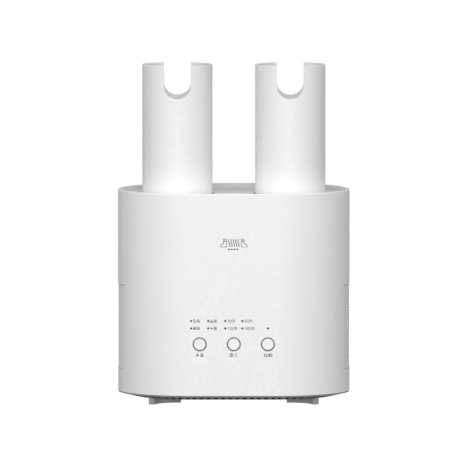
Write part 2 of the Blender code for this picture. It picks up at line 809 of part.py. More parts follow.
def switch(name, x):
    """Tactile switch on the control board, with a well for the button's stem."""
    half = SWITCH_SIZE / 2
    front, back = BOARD_Y - SWITCH_HEIGHT, BOARD_Y - GAP
    piece = box(name, (x - half, front, BUTTON_Z - half), (x + half, back, BUTTON_Z + half), "black")
    well = bmesh.new()
    depth = BUTTON_TRAVEL + 0.7 * MM
    radius = STEM_RADIUS + 0.4 * MM
    rod_form(well, (x, front - MM, BUTTON_Z), (x, front + depth, BUTTON_Z), radius, 20)
    boolean(piece, guide(f"{name}_well", to_mesh(well, f"{name}_well")))


def lamp(name, x, z):
    """Light pipe through the casing wall to the control board."""
    rod(name, (x, -END_RADIUS, z), (x, BOARD_Y - GAP, z), LAMP_RADIUS, "lamp", 12)


def boards():
    """Control board behind the buttons, power board at the back, and the deodorising module."""
    back = BOARD_Y + BOARD_THICKNESS
    box("control_board", (-48 * MM, BOARD_Y, 46 * MM), (48 * MM, back, 88 * MM), "board")
    back = POWER_BOARD_Y + BOARD_THICKNESS
    box("power_board", (-38 * MM, POWER_BOARD_Y, 84 * MM), (38 * MM, back, 150 * MM), "board")
    box("ozone_module", (-12 * MM, 41 * MM, 160 * MM), (12 * MM, 57 * MM, 186 * MM), "black")


def cord_inlet():
    """Gland for the mains lead, flush with the back of the casing."""
    flange = INLET_RADIUS + 2 * MM
    shoulder = -(WALL + GAP)
    profile = [
        (INLET_RADIUS, 0),
        (INLET_RADIUS, shoulder),
        (flange, shoulder),
        (flange, -INLET_DEPTH),
        (INLET_BORE, -INLET_DEPTH),
        (INLET_BORE, 0),
    ]
    piece = turned("cord_inlet", profile, "rubber", steps=20)
    piece.rotation_euler = (math.radians(-90), 0, 0)
    piece.location = (0, END_RADIUS, INLET_Z)


# ---------------------------------------------------------------- the whole dryer


def build():
    outer_shell()
    top_deck()
    base_pan()
    pan_envelope()
    for x_name, x_side in (("left", 1), ("right", -1)):
        foot(f"foot_front_{x_name}", -x_side, -1)
        foot(f"foot_rear_{x_name}", -x_side, 1)
    for name, side in (("left", -1), ("right", 1)):
        x = side * TUBE_X
        tube(f"{name}_tube", x)
        tube_stop(f"{name}_tube_stop", x)
        outlet_grid(f"{name}_outlet_grid", x)
        tube_seal(f"{name}_tube_seal", x)
        sleeve(f"{name}_sleeve", x)
        side_grille(f"{name}_side_grille", side)
        dust_filter(f"{name}_dust_filter", side)
    fan_housing()
    fan_motor()
    fan_shaft()
    fan_impeller()
    heater_frame()
    ptc_heater()
    thermal_fuse()
    air_plenum()
    for name, x in button_places():
        button(f"{name}_button", x)
        bezel(f"{name}_bezel", x)
        switch(f"{name}_switch", x)
    for name, x, z in lamp_places():
        lamp(name, x, z)
    boards()
    cord_inlet()
    base_screws()


build()
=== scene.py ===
"""Looks of the warm-air boot dryer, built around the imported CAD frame. Units are metres."""

import json
import math

import bmesh
import bpy
from mathutils import Matrix, Vector


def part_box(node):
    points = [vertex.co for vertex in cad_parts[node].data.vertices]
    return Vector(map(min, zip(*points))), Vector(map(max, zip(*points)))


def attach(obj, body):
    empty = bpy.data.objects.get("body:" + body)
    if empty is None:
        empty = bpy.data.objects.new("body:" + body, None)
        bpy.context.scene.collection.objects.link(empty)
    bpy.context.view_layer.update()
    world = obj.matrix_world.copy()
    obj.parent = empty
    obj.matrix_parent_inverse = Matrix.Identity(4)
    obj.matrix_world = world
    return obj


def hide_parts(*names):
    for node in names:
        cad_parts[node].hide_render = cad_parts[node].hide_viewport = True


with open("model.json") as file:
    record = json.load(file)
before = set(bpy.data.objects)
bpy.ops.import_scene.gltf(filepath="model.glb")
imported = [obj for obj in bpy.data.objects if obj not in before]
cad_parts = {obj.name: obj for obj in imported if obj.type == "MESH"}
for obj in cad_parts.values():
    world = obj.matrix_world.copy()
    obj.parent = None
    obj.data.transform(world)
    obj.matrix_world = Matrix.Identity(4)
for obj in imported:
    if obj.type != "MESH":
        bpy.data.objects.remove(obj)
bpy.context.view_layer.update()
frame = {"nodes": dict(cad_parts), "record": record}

MM = 0.001
MERGE = 0.005 * MM
FIT_GAP = 0.3 * MM

# Sizes and names read from the frame.
SHELL_LOW, SHELL_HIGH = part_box("outer_shell")
END_RADIUS = SHELL_HIGH.y
END_X = SHELL_HIGH.x - END_RADIUS
FRONT = SHELL_LOW.y
WALL = SHELL_HIGH.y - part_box("top_deck")[1].y - FIT_GAP
TUBE_LOW, TUBE_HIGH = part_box("right_tube")
TUBE_X = (TUBE_LOW.x + TUBE_HIGH.x) / 2
TUBE_RADIUS = (TUBE_HIGH.x - TUBE_LOW.x) / 2
BUTTON_Z = (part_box("timer_button")[0].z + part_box("timer_button")[1].z) / 2
CONTROL_PITCH = (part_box("power_button")[0].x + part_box("power_button")[1].x) / 2
LAMP_NAMES = [f"{group}_lamp_{n}" for group in ("mode", "timer") for n in (1, 2, 3, 4)] + ["power_lamp"]
SIDES = (("left", -1), ("right", 1))

# Sizes that the frame's boxes don't show.
TUBE_WALL = 2.4 * MM
NOTCH_RADIUS = 12.85 * MM
NOTCH_DEPTH = 31.3 * MM

# Numbers of steps round a casing end, a key and a lens.
ARC_STEPS = 64
KEY_STEPS = 72
LENS_STEPS = 24


# ---------------------------------------------------------------- camera

CAMERA_DISTANCE = 14.0
CAMERA_ELEVATION = math.radians(4.5)
FRAME_WIDTH = 0.4441
AIM = Vector((-0.0003, 0, 0.1592))


def camera():
    data = bpy.data.cameras.new("camera")
    data.sensor_width = 36
    data.lens = data.sensor_width * CAMERA_DISTANCE / FRAME_WIDTH
    data.clip_start = 0.1
    data.clip_end = 60
    eye = bpy.data.objects.new("camera", data)
    back = Vector((0, -math.cos(CAMERA_ELEVATION), math.sin(CAMERA_ELEVATION)))
    eye.location = AIM + back * CAMERA_DISTANCE
    eye.rotation_mode = "QUATERNION"
    eye.rotation_quaternion = (-back).to_track_quat("-Z", "Y")
    bpy.context.scene.collection.objects.link(eye)
    bpy.context.scene.camera = eye


camera()


# ---------------------------------------------------------------- materials


class Finish:
    """A procedural finish under construction: its nodes, and short ways to add them."""

    def __init__(self, name, roughness, metallic=0.0, specular=0.5):
        self.material = bpy.data.materials.new(name)
        self.material.use_nodes = True
        self.tree = self.material.node_tree
        self.shader = self.tree.nodes["Principled BSDF"]
        self.shader.inputs["Roughness"].default_value = roughness
        self.shader.inputs["Metallic"].default_value = metallic
        self.shader.inputs["Specular IOR Level"].default_value = specular
        self.place = self.node("ShaderNodeTexCoord").outputs["Object"]

    def node(self, kind, **settings):
        made = self.tree.nodes.new(kind)
        for key, value in settings.items():
            if key in made.inputs:
                made.inputs[key].default_value = value
            else:
                setattr(made, key, value)
        return made

    def link(self, start, end):
        self.tree.links.new(start, end)

    def noise(self, size, detail=3.0, place=None, roughness=0.55):
        """Noise whose features are about size metres across."""
        made = self.node("ShaderNodeTexNoise", Scale=1 / size, Detail=detail, Roughness=roughness)
        self.link(place or self.place, made.inputs["Vector"])
        return made.outputs["Fac"]

    def span(self, value, low, high, start=0.35, end=0.65):
        """Stretch value so that start to end becomes low to high."""
        made = self.node("ShaderNodeMapRange")
        for key, number in (("From Min", start), ("From Max", end), ("To Min", low), ("To Max", high)):
            made.inputs[key].default_value = number
        self.link(value, made.inputs["Value"])
        return made.outputs["Result"]

    def mix(self, factor, first, second):
        """Colour between first and second; each is a colour or another node's output."""
        made = self.node("ShaderNodeMix", data_type="RGBA")
        sockets = [s for s in made.inputs if s.type == "RGBA"]
        for socket, colour in zip(sockets, (first, second)):
            if isinstance(colour, tuple):
                socket.default_value = (*colour, 1.0)
            else:
                self.link(colour, socket)
        self.link(factor, made.inputs["Factor"])
        return next(s for s in made.outputs if s.type == "RGBA")

    def colour(self, value):
        self.link(value, self.shader.inputs["Base Color"])

    def rough(self, value):
        self.link(value, self.shader.inputs["Roughness"])

    def bump(self, height, distance, strength, before=None):
        made = self.node("ShaderNodeBump", Strength=strength, Distance=distance)
        self.link(height, made.inputs["Height"])
        if before is not None:
            self.link(before, made.inputs["Normal"])
        return made.outputs["Normal"]

    def normal(self, value):
        self.link(value, self.shader.inputs["Normal"])

    def edges(self):
        """High on convex edges, where a surface rubs."""
        shape = self.node("ShaderNodeNewGeometry").outputs["Pointiness"]
        return self.span(shape, 0.0, 1.0, 0.505, 0.56)


def shade(colour, factor):
    return tuple(channel * factor for channel in colour)


GRAIN_DEPTH = 0.012 * MM
SWELL_DEPTH = 0.03 * MM
WEAR = 0.35


def moulded(name, colour, roughness, grain=0.45 * MM, cloud=0.02, painted_bounce=None):
    """Moulded plastic: spark-eroded grain, slow tone and gloss changes, and rubbed edges.

    The last argument, when given, is a low height, a high height and a share: the colour nears white
    by that share towards the low one, as painted light bounced up from the surface below.
    """
    finish = Finish(name, roughness)
    tone = finish.span(finish.noise(35 * MM, 4), 0.0, 1.0)
    base = finish.mix(tone, shade(colour, 1 - cloud), shade(colour, 1 + cloud))
    speck = finish.span(finish.noise(0.9 * MM, 2), 0.0, 0.5, 0.6, 0.8)
    base = finish.mix(speck, base, shade(colour, 0.96))
    # Painted bounce light: the colour whitens towards the low height, as if lit from the surface below.
    if painted_bounce is not None:
        low, high, share = painted_bounce
        split = finish.node("ShaderNodeSeparateXYZ")
        finish.link(finish.place, split.inputs[0])
        base = finish.mix(finish.span(split.outputs["Z"], share, 0.0, low, high), base, (1.0, 1.0, 1.0))
    rub = finish.node("ShaderNodeMath", operation="MULTIPLY")
    finish.link(finish.edges(), rub.inputs[0])
    finish.link(finish.span(finish.noise(4 * MM, 4), 0.0, WEAR), rub.inputs[1])
    worn = tuple(min(channel * 1.12 + 0.02, 1.0) for channel in colour)
    finish.colour(finish.mix(rub.outputs[0], base, worn))
    finish.rough(finish.span(finish.noise(14 * MM, 5), roughness - 0.04, roughness + 0.04))
    pits = finish.noise(grain, 4, roughness=0.65)
    swell = finish.noise(28 * MM, 2)
    finish.normal(finish.bump(pits, GRAIN_DEPTH, 0.6, finish.bump(swell, SWELL_DEPTH, 0.25)))
    return finish.material


def rubber(name, colour, roughness=0.75):
    """Rubber: dull, slightly cloudy, with dust on its upper grain."""
    finish = Finish(name, roughness, specular=0.3)
    tone = finish.span(finish.noise(6 * MM, 5), 0.0, 1.0)
    base = finish.mix(tone, shade(colour, 0.9), shade(colour, 1.12))
    dust = finish.span(finish.noise(1.2 * MM, 5), 0.0, 0.25, 0.55, 0.8)
    finish.colour(finish.mix(dust, base, (0.5, 0.49, 0.47)))
    finish.rough(finish.span(finish.noise(3 * MM, 3), roughness - 0.08, roughness + 0.1))
    finish.normal(finish.bump(finish.noise(0.5 * MM, 5), 0.03 * MM, 0.7))
    return finish.material


def lamp_window(name):
    """Smoked light pipe: near black, polished, a little hazy inside."""
    finish = Finish(name, 0.3, specular=0.2)
    haze = finish.span(finish.noise(0.6 * MM, 3), 0.0, 1.0)
    finish.colour(finish.mix(haze, (0.002, 0.002, 0.002), (0.006, 0.006, 0.007)))
    finish.rough(finish.span(finish.noise(1 * MM, 2), 0.25, 0.4))
    finish.normal(finish.bump(finish.noise(0.3 * MM, 2), 0.004 * MM, 0.4))
    return finish.material


def print_ink(name, colour):
    """Pad-printed ink: flat, with tiny pinholes and a slightly uneven tone."""
    finish = Finish(name, 0.55)
    tone = finish.span(finish.noise(0.35 * MM, 4), 0.0, 1.0)
    finish.colour(finish.mix(tone, shade(colour, 0.88), shade(colour, 1.1)))
    finish.rough(finish.span(finish.noise(0.8 * MM, 3), 0.48, 0.62))
    finish.normal(finish.bump(finish.noise(0.2 * MM, 3), 0.004 * MM, 0.5))
    return finish.material


def metal(name, colour, roughness):
    """Metal with a drawn grain along Z and faint tarnish."""
    finish = Finish(name, roughness, metallic=1.0)
    turn = finish.node("ShaderNodeMapping")
    turn.inputs["Scale"].default_value = (1, 1, 12)
    finish.link(finish.place, turn.inputs["Vector"])
    lines = finish.noise(2 * MM, 5, turn.outputs["Vector"])
    tarnish = finish.span(finish.noise(5 * MM, 5), 0.0, 1.0)
    finish.colour(finish.mix(tarnish, shade(colour, 0.82), colour))
    finish.rough(finish.span(lines, roughness - 0.08, roughness + 0.12))
    finish.normal(finish.bump(lines, 0.01 * MM, 0.5))
    return finish.material


def circuit_board(name):
    """Lacquered green board with copper tracks that show as lighter lines."""
    finish = Finish(name, 0.35)
    cells = finish.node("ShaderNodeTexBrick", offset=0.5)
    cells.inputs["Scale"].default_value = 160
    cells.inputs["Mortar Size"].default_value = 0.03
    cells.inputs["Color1"].default_value = (0.010, 0.085, 0.030, 1)
    cells.inputs["Color2"].default_value = (0.013, 0.105, 0.040, 1)
    cells.inputs["Mortar"].default_value = (0.03, 0.20, 0.08, 1)
    turn = finish.node("ShaderNodeMapping")
    turn.inputs["Rotation"].default_value = (math.radians(90), 0, 0)
    finish.link(finish.place, turn.inputs["Vector"])
    finish.link(turn.outputs["Vector"], cells.inputs["Vector"])
    finish.colour(cells.outputs["Color"])
    finish.rough(finish.span(finish.noise(4 * MM, 3), 0.28, 0.42))
    finish.normal(finish.bump(cells.outputs["Fac"], 0.03 * MM, 0.5))
    return finish.material


def filter_cloth(name):
    """Fine woven filter screen."""
    finish = Finish(name, 0.8)
    waves = []
    for axis in ("Y", "Z"):
        wave = finish.node("ShaderNodeTexWave", bands_direction=axis)
        wave.inputs["Scale"].default_value = 320
        finish.link(finish.place, wave.inputs["Vector"])
        waves.append(wave.outputs["Fac"])
    weave = finish.node("ShaderNodeMath", operation="MULTIPLY")
    finish.link(waves[0], weave.inputs[0])
    finish.link(waves[1], weave.inputs[1])
    finish.colour(finish.mix(weave.outputs[0], (0.10, 0.10, 0.10), (0.03, 0.03, 0.03)))
    finish.rough(finish.span(finish.noise(2 * MM, 3), 0.7, 0.9))
    finish.normal(finish.bump(weave.outputs[0], 0.15 * MM, 0.8))
    return finish.material


WHITE = (0.83, 0.83, 0.83)
BODY = moulded("white_body", WHITE, 0.44, cloud=0.008)
# The tube's colour is whitened towards its foot by the deck: painted bounce light.
TUBE = moulded("white_tube", (0.795, 0.795, 0.795), 0.42, cloud=0.008, painted_bounce=(200 * MM, 226 * MM, 0.45))
BUTTON = moulded("white_button", (0.86, 0.86, 0.86), 0.38, grain=0.3 * MM)
RING = moulded("grey_ring", (0.155, 0.155, 0.155), 0.4, grain=0.25 * MM)
BASE = moulded("grey_base", (0.24, 0.24, 0.24), 0.6, cloud=0.05)
DUCT = moulded("duct_plastic", (0.55, 0.55, 0.54), 0.5, cloud=0.04)
BLACK = moulded("black_plastic", (0.03, 0.03, 0.032), 0.5, cloud=0.08)
FOOT = rubber("foot_rubber", (0.42, 0.42, 0.42))
SEAL = rubber("seal_rubber", (0.22, 0.22, 0.22), 0.65)
LAMP = lamp_window("lamp_window")
INK = print_ink("label_ink", (0.035, 0.035, 0.035))
STEEL = metal("steel", (0.60, 0.60, 0.62), 0.34)
FINS = metal("heater_metal", (0.72, 0.72, 0.74), 0.38)
BOARD = circuit_board("circuit_board")
SCREEN = filter_cloth("filter_screen")
# A greyer white: painted shade for the inner faces of the casing wall, around the well.
SHADED_INSIDE = moulded("white_inside_painted_shade", (0.745, 0.745, 0.745), 0.5)
VENT = moulded("vent_shadow", (0.008, 0.008, 0.008), 0.8)

SLOT_FINISH = {
    "white_body": BODY,
    "white_tube": TUBE,
    "white_button": BUTTON,
    "grey_ring": RING,
    "foot_rubber": FOOT,
    "seal_rubber": SEAL,
    "grey_base": BASE,
    "lamp_window": LAMP,
    "duct_plastic": DUCT,
    "black_plastic": BLACK,
    "circuit_board": BOARD,
    "heater_metal": FINS,
    "steel": STEEL,
}


def dress_frame():
    """Give every CAD node its finish and smooth shading between soft angles."""
    for row in frame["record"]["subparts"]:
        node = frame["nodes"][row["node"]]
        node.data.materials.clear()
        node.data.materials.append(SLOT_FINISH[row["material_slot"]])
        node.data.shade_smooth()
        node.data.set_sharp_from_angle(angle=math.radians(28))


dress_frame()


# ---------------------------------------------------------------- modelling helpers


def to_piece(form, name, finish):
    bmesh.ops.recalc_face_normals(form, faces=form.faces)
    mesh = bpy.data.meshes.new(name)
    form.to_mesh(mesh)
    form.free()
    piece = bpy.data.objects.new(name, mesh)
    if finish is not None:
        mesh.materials.append(finish)
    bpy.context.scene.collection.objects.link(piece)
    return piece


def settle(piece):
    """Apply the modifiers, so that the mesh is final."""
    bpy.context.view_layer.update()
    graph = bpy.context.evaluated_depsgraph_get()
    mesh = bpy.data.meshes.new_from_object(piece.evaluated_get(graph))
    mesh.name = piece.name
    piece.modifiers.clear()
    piece.data = mesh
    return piece


def soften(piece, angle=38):
    piece.data.shade_smooth()
    piece.data.set_sharp_from_angle(angle=math.radians(angle))
    return piece


def round_edges(piece, width, segments=3, angle=45):
    """Round the edges sharper than angle, and keep flat faces flat in shading."""
    step = piece.modifiers.new("round", "BEVEL")
    step.width = width
    step.segments = segments
    step.limit_method = "ANGLE"
    step.angle_limit = math.radians(angle)
    step.harden_normals = False
    settle(piece)
    soften(piece)
    weigh = piece.modifiers.new("normals", "WEIGHTED_NORMAL")
    weigh.keep_sharp = True
    return settle(piece)


def carve(piece, form):
    """Cut the closed solids in form out of the piece; they are then removed."""
    other = to_piece(form, "carver", None)
    step = piece.modifiers.new("carve", "BOOLEAN")
    step.operation = "DIFFERENCE"
    step.object = other
    settle(piece)
    spare = other.data
    bpy.data.objects.remove(other)
    bpy.data.meshes.remove(spare)
    return piece


def add_box(form, low, high):
    low, high = Vector(low), Vector(high)
    place = Matrix.Translation((low + high) / 2) @ Matrix.Diagonal((*(high - low), 1))
    bmesh.ops.create_cube(form, size=1, matrix=place)


def add_rod(form, start, end, radius, steps=48):
    start, end = Vector(start), Vector(end)
    along = end - start
    turn = along.to_track_quat("Z", "Y").to_matrix().to_4x4()
    bmesh.ops.create_cone(
        form,
        cap_ends=True,
        segments=steps,
        radius1=radius,
        radius2=radius,
        depth=along.length,
        matrix=Matrix.Translation((start + end) / 2) @ turn,
    )


def loft(form, rings, closed):
    """Join equal rings of points; closed joins the last ring to the first, or else both get caps."""
    rows = [[form.verts.new(point) for point in ring] for ring in rings]
    pairs = list(zip(rows, rows[1:]))
    if closed:
        pairs.append((rows[-1], rows[0]))
    for low, high in pairs:
        for step in range(len(low)):
            after = (step + 1) % len(low)
            form.faces.new((low[step], low[after], high[after], high[step]))
    if not closed:
        form.faces.new(rows[0])
        form.faces.new(rows[-1])


def oval(radius, z, steps=ARC_STEPS):
    """Plan outline of the casing at height z, at a given end radius."""
    points = []
    for side in (1, -1):
        for step in range(steps + 1):
            angle = math.radians(-90 + 180 * step / steps)
            points.append((side * (END_X + radius * math.cos(angle)), side * radius * math.sin(angle), z))
    return points


def arc(centre, radius, start, end, steps):
    """Points of an arc, in degrees, as (across, up) pairs."""
    points = []
    for step in range(steps + 1):
        angle = math.radians(start + (end - start) * step / steps)
        points.append((centre[0] + radius * math.cos(angle), centre[1] + radius * math.sin(angle)))
    return points


def turned(name, profile, finish, matrix, steps=96, closed=True):
    """Turn a (radius, height) profile about Z, then place it; an open one starts and ends on the axis."""
    form = bmesh.new()
    corners = [form.verts.new((radius, 0, z)) for radius, z in profile]
    pairs = list(zip(corners, corners[1:]))
    if closed:
        pairs.append((corners[-1], corners[0]))
    for first, second in pairs:
        form.edges.new((first, second))
    bmesh.ops.spin(
        form,
        geom=list(form.verts) + list(form.edges),
        axis=(0, 0, 1),
        cent=(0, 0, 0),
        angle=math.tau,
        steps=steps,
        use_merge=True,
    )
    bmesh.ops.remove_doubles(form, verts=form.verts, dist=MERGE)
    bmesh.ops.transform(form, matrix=matrix, verts=form.verts)
    return to_piece(form, name, finish)


def facing_front(x, y, z):
    """Turns a turned form's +Z to point into the casing, away from the viewer at the front."""
    return Matrix.Translation((x, y, z)) @ Matrix.Rotation(math.radians(-90), 4, "X")


def stand_for(piece, slot, body, *nodes):
    """The piece replaces CAD nodes and rides on their body; its slot argument is not used."""
    if nodes:
        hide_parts(*nodes)
    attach(piece, body)
    return piece


# ---------------------------------------------------------------- casing

LOWER_ROUND = 0.25 * MM
INLET_RADIUS = 5 * MM
LEDGE_REACH = 3 * MM
LEDGE_THICKNESS = 2 * MM
LEDGE_DEPTH = 5 * MM
BEZEL_GAP = 0.12 * MM
LENS_GROWTH = 0.29 * MM
LENS_GAP = 0.02 * MM
RIM_MARGIN = 0.4 * MM
DECK_GROWTH = 0.2 * MM
DECK_SHOULDER = 0.25 * MM
SEAL_WIDTH = 1.5 * MM
SEAL_OUTER = TUBE_RADIUS + SEAL_WIDTH
LEDGE_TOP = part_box("top_deck")[0].z - FIT_GAP
GRILLE_LOW, GRILLE_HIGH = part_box("right_side_grille")
GRILLE_CUT = 20 * MM


def node_centre(name):
    low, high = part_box(name)
    return (low + high) / 2


def lens_radius(name):
    """Radius of a lamp's lens, which all but fills its hole."""
    low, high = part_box(name)
    return (high.x - low.x) / 2 + LENS_GROWTH


def plan_radius(point):
    """Distance from the casing's middle line, which runs between the centres of its round ends."""
    return math.hypot(max(abs(point.x) - END_X, 0), point.y)


def casing():
    """Casing wall: rounded rim, softened lower edge and holes, and a ledge that carries the deck."""
    inner = END_RADIUS - WALL
    bottom = arc((END_RADIUS - LOWER_ROUND, SHELL_LOW.z + LOWER_ROUND), LOWER_ROUND, -90, 0, 3)
    rim = arc((END_RADIUS - WALL / 2, SHELL_HIGH.z - WALL / 2), WALL / 2, 0, 180, 10)
    ledge = [
        (inner, LEDGE_TOP),
        (inner - LEDGE_REACH, LEDGE_TOP),
        (inner - LEDGE_REACH, LEDGE_TOP - LEDGE_THICKNESS),
        (inner, LEDGE_TOP - LEDGE_DEPTH),
    ]
    profile = [(inner, SHELL_LOW.z), *bottom, *rim, *ledge]
    form = bmesh.new()
    loft(form, [oval(radius, z) for radius, z in profile], closed=True)
    piece = to_piece(form, "casing", BODY)
    holes = bmesh.new()
    near, far = FRONT - 5 * MM, FRONT + 8 * MM
    bezel_low, bezel_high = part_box("timer_bezel")
    key_hole = (bezel_high.x - bezel_low.x) / 2 + BEZEL_GAP
    for x in (-CONTROL_PITCH, 0, CONTROL_PITCH):
        add_rod(holes, (x, near, BUTTON_Z), (x, far, BUTTON_Z), key_hole, KEY_STEPS)
    for name in LAMP_NAMES:
        place = node_centre(name)
        radius = lens_radius(name) + LENS_GAP
        add_rod(holes, (place.x, near, place.z), (place.x, far, place.z), radius, LENS_STEPS)
    for side in (-1, 1):
        ends = sorted((side * (SHELL_HIGH.x - GRILLE_CUT), side * (SHELL_HIGH.x + 5 * MM)))
        low = (ends[0], GRILLE_LOW.y - FIT_GAP, GRILLE_LOW.z - FIT_GAP)
        add_box(holes, low, (ends[1], GRILLE_HIGH.y + FIT_GAP, GRILLE_HIGH.z + FIT_GAP))
    inlet = node_centre("cord_inlet")
    add_rod(holes, (0, -near, inlet.z), (0, -far, inlet.z), INLET_RADIUS + FIT_GAP, 48)
    carve(piece, holes)
    round_edges(piece, 0.2 * MM, 2)
    # Inner faces of the wall get the greyer white, as painted shade in the well.
    piece.data.materials.append(SHADED_INSIDE)
    for face in piece.data.polygons:
        if plan_radius(face.center) < inner + RIM_MARGIN:
            face.material_index = 1
    return stand_for(piece, "white_body", "base", "outer_shell")


def deck():
    """Floor of the well: a plate, just wider than the frame's, with a rounded shoulder and two holes."""
    low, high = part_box("top_deck")
    outer = high.y + DECK_GROWTH
    shoulder = arc((outer - DECK_SHOULDER, high.z - DECK_SHOULDER), DECK_SHOULDER, 0, 90, 3)
    profile = [(outer, low.z), *shoulder]
    form = bmesh.new()
    loft(form, [oval(radius, z) for radius, z in profile], closed=False)
    piece = to_piece(form, "well_deck", BODY)
    holes = bmesh.new()
    for side in (-1, 1):
        x = side * TUBE_X
        add_rod(holes, (x, 0, low.z - MM), (x, 0, high.z + MM), SEAL_OUTER + FIT_GAP, 96)
    carve(piece, holes)
    round_edges(piece, 0.3 * MM, 2)
    return stand_for(piece, "white_body", "base", "top_deck")


# ---------------------------------------------------------------- tubes


def outlet_tube(side_name, side):
    """Outlet tube with a rounded mouth and a rounded U notch through front and back."""
    x = side * TUBE_X
    edge = 0.9 * MM
    outer, inner = TUBE_RADIUS, TUBE_RADIUS - TUBE_WALL
    top = TUBE_HIGH.z
    profile = [
        (inner, TUBE_LOW.z),
        (outer, TUBE_LOW.z),
        *arc((outer - edge, top - edge), edge, 0, 90, 5),
        *arc((inner + edge, top - edge), edge, 90, 180, 5),
    ]
    piece = turned(f"{side_name}_outlet_tube", profile, TUBE, Matrix.Translation((x, 0, 0)), 128)
    centre_z = top - NOTCH_DEPTH + NOTCH_RADIUS
    above = top + 10 * MM
    outline = [(-NOTCH_RADIUS, above), *arc((0, centre_z), NOTCH_RADIUS, 180, 360, 40), (NOTCH_RADIUS, above)]
    notch = bmesh.new()
    reach = outer + 5 * MM
    loft(notch, [[(x + across, y, z) for across, z in outline] for y in (-reach, reach)], closed=False)
    carve(piece, notch)
    round_edges(piece, 0.5 * MM, 3, angle=50)
    return stand_for(piece, "white_tube", f"{side_name}_outlet", f"{side_name}_tube")


def tube_seal(side_name, side):
    """Grey ring in the deck around the tube, with a lip that leans on the tube."""
    low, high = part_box(f"{side_name}_tube_seal")
    inner = TUBE_RADIUS + FIT_GAP
    flange = (high.x - low.x) / 2
    shoulder = low.z + 2 * MM
    edge = 0.4 * MM
    profile = [
        (inner, low.z),
        (flange, low.z),
        (flange, shoulder),
        (SEAL_OUTER, shoulder),
        *arc((SEAL_OUTER - edge, high.z - edge), edge, 0, 90, 3),
        (inner + 0.5 * MM, high.z),
        (inner, high.z - 0.6 * MM),
    ]
    piece = turned(f"{side_name}_seal_ring", profile, SEAL, Matrix.Translation((side * TUBE_X, 0, 0)))
    soften(piece)
    return stand_for(piece, "seal_rubber", "base", f"{side_name}_tube_seal")


# ---------------------------------------------------------------- side grilles

LOUVRE_PITCH = 3.05 * MM
LOUVRE_SLOT = 0.5 * MM
LOUVRE_COUNT = 25
LOUVRE_SLOPE = 0.85
TOP_GAP = 0.35 * MM
LOUVRE_THICKNESS = 2 * MM
LOUVRE_MARGIN = 2.5 * MM


def curved_bar(form, section, side, half_width, steps=32):
    """Sweep a (radius, height) section round the casing's end, from -half_width to half_width."""
    reach = math.asin(half_width / section[0][0])
    rings = []
    for step in range(steps + 1):
        angle = reach * (2 * step / steps - 1)
        across, along = math.cos(angle), math.sin(angle)
        rings.append([(side * (END_X + radius * across), radius * along, z) for radius, z in section])
    loft(form, rings, closed=False)


def side_grille(side_name, side):
    """Inlet panel curved like the casing's end; its slots rise inwards, so the blades overlap."""
    low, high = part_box(f"{side_name}_side_grille")
    outer = max(abs(low.x), abs(high.x)) - END_X
    inner = outer - LOUVRE_THICKNESS
    form = bmesh.new()
    top = high.z - TOP_GAP
    panel = [(outer, low.z), (outer, top), (inner, top), (inner, low.z)]
    curved_bar(form, panel, side, high.y, 48)
    piece = to_piece(form, f"{side_name}_louvres", BODY)
    slots = bmesh.new()
    middle = (low.z + high.z) / 2
    rise = LOUVRE_SLOPE * MM
    half = LOUVRE_SLOT / 2
    for number in range(LOUVRE_COUNT):
        z = middle + (number - (LOUVRE_COUNT - 1) / 2) * LOUVRE_PITCH
        near, far = (outer + MM, z - rise), (inner - MM, z + 3 * rise)
        section = [(near[0], near[1] - half), (near[0], near[1] + half)]
        section += [(far[0], far[1] + half), (far[0], far[1] - half)]
        curved_bar(slots, section, side, high.y - LOUVRE_MARGIN)
    carve(piece, slots)
    round_edges(piece, 0.12 * MM, 2)
    return stand_for(piece, "white_body", "base", f"{side_name}_side_grille")


def filter_screen(side_name):
    """Fine cloth stretched across the filter frame, behind the louvres."""
    low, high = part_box(f"{side_name}_dust_filter")
    middle = (low.x + high.x) / 2
    inset = 1 * MM
    half = 0.2 * MM
    form = bmesh.new()
    add_box(
        form,
        (middle - half, low.y + inset, low.z + inset),
        (middle + half, high.y - inset, high.z - inset),
    )
    piece = to_piece(form, f"{side_name}_filter_screen", SCREEN)
    round_edges(piece, 0.05 * MM, 1)
    return stand_for(piece, "duct_plastic", "base")


# ---------------------------------------------------------------- controls


def key_cap(name):
    """Round key with a softly dished face."""
    low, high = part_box(f"{name}_button")
    radius = (high.x - low.x) / 2
    centre = node_centre(f"{name}_button")
    edge = 0.45 * MM
    dish = 0.15 * MM
    stem = 2 * MM
    skirt = 3 * MM
    profile = [
        (0, high.y - low.y),
        (stem, high.y - low.y),
        (stem, skirt),
        (radius, skirt),
        *[(across, edge - up) for across, up in arc((radius - edge, 0), edge, 0, 90, 4)],
        (radius - 1.0 * MM, 0.02 * MM),
        (radius * 0.5, dish * 0.8),
        (0, dish),
    ]
    place = facing_front(centre.x, low.y, centre.z)
    piece = turned(f"{name}_key_cap", profile, BUTTON, place, KEY_STEPS, closed=False)
    soften(piece, 40)
    return stand_for(piece, "white_button", f"{name}_key", f"{name}_button")


def key_ring(name):
    """Thin grey ring around a key."""
    low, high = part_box(f"{name}_bezel")
    outer = (high.x - low.x) / 2
    inner = outer - 0.7 * MM
    edge = 0.15 * MM
    length = 2.4 * MM
    profile = [
        (inner, length),
        (outer, length),
        *[(across, edge - up) for across, up in arc((outer - edge, 0), edge, 0, 90, 3)],
        *[(across, edge - up) for across, up in arc((inner + edge, 0), edge, 90, 180, 3)],
    ]
    centre = node_centre(f"{name}_bezel")
    place = facing_front(centre.x, low.y, centre.z)
    piece = turned(f"{name}_key_ring", profile, RING, place, KEY_STEPS)
    soften(piece)
    return stand_for(piece, "grey_ring", "base", f"{name}_bezel")


